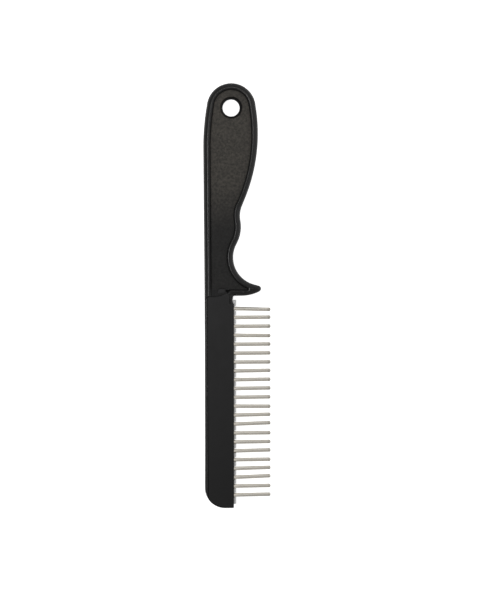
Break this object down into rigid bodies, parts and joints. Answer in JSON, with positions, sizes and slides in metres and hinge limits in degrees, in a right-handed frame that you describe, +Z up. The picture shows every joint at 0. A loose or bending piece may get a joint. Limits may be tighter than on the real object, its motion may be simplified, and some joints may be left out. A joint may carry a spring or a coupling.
{
  "type": "dematting comb",
  "caption": "Pet dematting comb with a looped-rim plastic handle, a finger guard, a two-part blade and freely turning steel teeth in a steel channel.",
  "frame": {"origin": "on the surface it lies on, under the middle of the whole comb", "axes": "+Y along the comb towards the hanging hole, +X the way the teeth point, +Z up out of the cover side"},
  "size_m": [0.0338, 0.2159, 0.0072],
  "materials": {
    "black_plastic": "finely grained web, smooth rims",
    "cover_plastic": "fine matte grain",
    "channel_steel": "folded strip, dull",
    "tooth_steel": "polished wire"
  },
  "bodies": {
    "comb_body": {"handle_body": "black_plastic", "blade_cover": "cover_plastic", "tooth_channel": "channel_steel"},
    "tooth_01": {"tooth_01": "tooth_steel"},
    "tooth_02": {"tooth_02": "tooth_steel"},
    "tooth_03": {"tooth_03": "tooth_steel"},
    "tooth_04": {"tooth_04": "tooth_steel"},
    "tooth_05": {"tooth_05": "tooth_steel"},
    "tooth_06": {"tooth_06": "tooth_steel"},
    "tooth_07": {"tooth_07": "tooth_steel"},
    "tooth_08": {"tooth_08": "tooth_steel"},
    "tooth_09": {"tooth_09": "tooth_steel"},
    "tooth_10": {"tooth_10": "tooth_steel"},
    "tooth_11": {"tooth_11": "tooth_steel"},
    "tooth_12": {"tooth_12": "tooth_steel"},
    "tooth_13": {"tooth_13": "tooth_steel"},
    "tooth_14": {"tooth_14": "tooth_steel"},
    "tooth_15": {"tooth_15": "tooth_steel"},
    "tooth_16": {"tooth_16": "tooth_steel"},
    "tooth_17": {"tooth_17": "tooth_steel"},
    "tooth_18": {"tooth_18": "tooth_steel"},
    "tooth_19": {"tooth_19": "tooth_steel"},
    "tooth_20": {"tooth_20": "tooth_steel"},
    "tooth_21": {"tooth_21": "tooth_steel"},
    "tooth_22": {"tooth_22": "tooth_steel"}
  },
  "joints": [
    {"name": "tooth_01_spin", "type": "hinge", "parent": "comb_body", "child": "tooth_01", "pos_m": [-0.00181, -0.00667, 0.0036], "axis": [0.9994, -0.0339, 0], "continuous": true},
    {"name": "tooth_02_spin", "type": "hinge", "parent": "comb_body", "child": "tooth_02", "pos_m": [-0.00183, -0.01119, 0.0036], "axis": [1, 0.0016, 0], "continuous": true},
    {"name": "tooth_03_spin", "type": "hinge", "parent": "comb_body", "child": "tooth_03", "pos_m": [-0.00186, -0.0157, 0.0036], "axis": [1, 0.0053, 0], "continuous": true},
    {"name": "tooth_04_spin", "type": "hinge", "parent": "comb_body", "child": "tooth_04", "pos_m": [-0.00188, -0.02022, 0.0036], "axis": [0.9999, -0.0102, 0], "continuous": true},
    {"name": "tooth_05_spin", "type": "hinge", "parent": "comb_body", "child": "tooth_05", "pos_m": [-0.00191, -0.02473, 0.0036], "axis": [1, 0.0042, 0], "continuous": true},
    {"name": "tooth_06_spin", "type": "hinge", "parent": "comb_body", "child": "tooth_06", "pos_m": [-0.00193, -0.02925, 0.0036], "axis": [1, 0.0058, 0], "continuous": true},
    {"name": "tooth_07_spin", "type": "hinge", "parent": "comb_body", "child": "tooth_07", "pos_m": [-0.00196, -0.03376, 0.0036], "axis": [1, 0.0009, 0], "continuous": true},
    {"name": "tooth_08_spin", "type": "hinge", "parent": "comb_body", "child": "tooth_08", "pos_m": [-0.00198, -0.03828, 0.0036], "axis": [1, 0.008, 0], "continuous": true},
    {"name": "tooth_09_spin", "type": "hinge", "parent": "comb_body", "child": "tooth_09", "pos_m": [-0.00201, -0.04279, 0.0036], "axis": [1, 0.0028, 0], "continuous": true},
    {"name": "tooth_10_spin", "type": "hinge", "parent": "comb_body", "child": "tooth_10", "pos_m": [-0.00203, -0.0473, 0.0036], "axis": [0.9999, 0.0103, 0], "continuous": true},
    {"name": "tooth_11_spin", "type": "hinge", "parent": "comb_body", "child": "tooth_11", "pos_m": [-0.00205, -0.05182, 0.0036], "axis": [0.9999, 0.0156, 0], "continuous": true},
    {"name": "tooth_12_spin", "type": "hinge", "parent": "comb_body", "child": "tooth_12", "pos_m": [-0.00208, -0.05634, 0.0036], "axis": [1, 0, 0], "continuous": true},
    {"name": "tooth_13_spin", "type": "hinge", "parent": "comb_body", "child": "tooth_13", "pos_m": [-0.00211, -0.06085, 0.0036], "axis": [0.9999, 0.0156, 0], "continuous": true},
    {"name": "tooth_14_spin", "type": "hinge", "parent": "comb_body", "child": "tooth_14", "pos_m": [-0.00213, -0.06537, 0.0036], "axis": [0.9997, 0.0247, 0], "continuous": true},
    {"name": "tooth_15_spin", "type": "hinge", "parent": "comb_body", "child": "tooth_15", "pos_m": [-0.00215, -0.06988, 0.0036], "axis": [1, 0.001, 0], "continuous": true},
    {"name": "tooth_16_spin", "type": "hinge", "parent": "comb_body", "child": "tooth_16", "pos_m": [-0.00218, -0.0744, 0.0036], "axis": [0.9999, 0.0173, 0], "continuous": true},
    {"name": "tooth_17_spin", "type": "hinge", "parent": "comb_body", "child": "tooth_17", "pos_m": [-0.0022, -0.07891, 0.0036], "axis": [0.9995, 0.0315, 0], "continuous": true},
    {"name": "tooth_18_spin", "type": "hinge", "parent": "comb_body", "child": "tooth_18", "pos_m": [-0.00223, -0.08342, 0.0036], "axis": [1, 0.0071, 0], "continuous": true},
    {"name": "tooth_19_spin", "type": "hinge", "parent": "comb_body", "child": "tooth_19", "pos_m": [-0.00225, -0.08794, 0.0036], "axis": [0.9998, 0.0185, 0], "continuous": true},
    {"name": "tooth_20_spin", "type": "hinge", "parent": "comb_body", "child": "tooth_20", "pos_m": [-0.00228, -0.09245, 0.0036], "axis": [0.9994, 0.0336, 0], "continuous": true},
    {"name": "tooth_21_spin", "type": "hinge", "parent": "comb_body", "child": "tooth_21", "pos_m": [-0.0023, -0.09697, 0.0036], "axis": [0.9999, 0.0162, 0], "continuous": true},
    {"name": "tooth_22_spin", "type": "hinge", "parent": "comb_body", "child": "tooth_22", "pos_m": [-0.00233, -0.10149, 0.0036], "axis": [0.9997, 0.0227, 0], "continuous": true}
  ]
}
